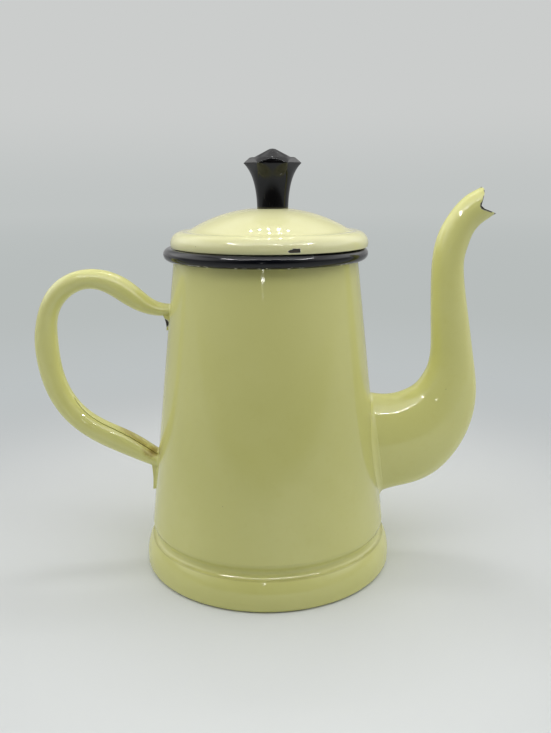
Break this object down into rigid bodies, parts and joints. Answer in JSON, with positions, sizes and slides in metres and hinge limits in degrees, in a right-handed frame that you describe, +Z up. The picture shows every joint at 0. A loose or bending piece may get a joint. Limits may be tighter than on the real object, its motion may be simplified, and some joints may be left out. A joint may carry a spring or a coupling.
{
  "type": "coffee pot",
  "caption": "Tall tapering enamelled-steel coffee pot with a swan-neck spout, a rolled C-shaped handle and a loose domed lid with a faceted knob.",
  "frame": {"origin": "middle of the foot, on the surface that the pot stands on", "axes": "+Z up along the pot's axis; +X from the axis towards the spout, -X towards the handle; the middle plane is Y = 0"},
  "size_m": [0.2474, 0.1382, 0.2254],
  "materials": {
    "yellow_enamel": "glossy vitreous enamel, worn at edges",
    "black_enamel": "glossy vitreous enamel",
    "black_bakelite": "polished moulding",
    "brass": "turned",
    "plain_steel": "plain, slightly rusted"
  },
  "bodies": {
    "pot": {"body_shell": "yellow_enamel", "base_pan": "yellow_enamel", "rim_bead": "black_enamel", "rim_wire": "plain_steel", "spout_left_half": "yellow_enamel", "spout_right_half": "yellow_enamel", "handle": "yellow_enamel"},
    "lid": {"lid_shell": "yellow_enamel", "lid_collar": "yellow_enamel", "knob": "black_bakelite", "knob_insert": "brass", "knob_screw": "plain_steel", "knob_washer": "plain_steel"}
  },
  "joints": [
    {"name": "lid_lift", "type": "slide", "parent": "pot", "child": "lid", "axis": [0, 0, 1], "range_m": [0, 0.06]}
  ]
}
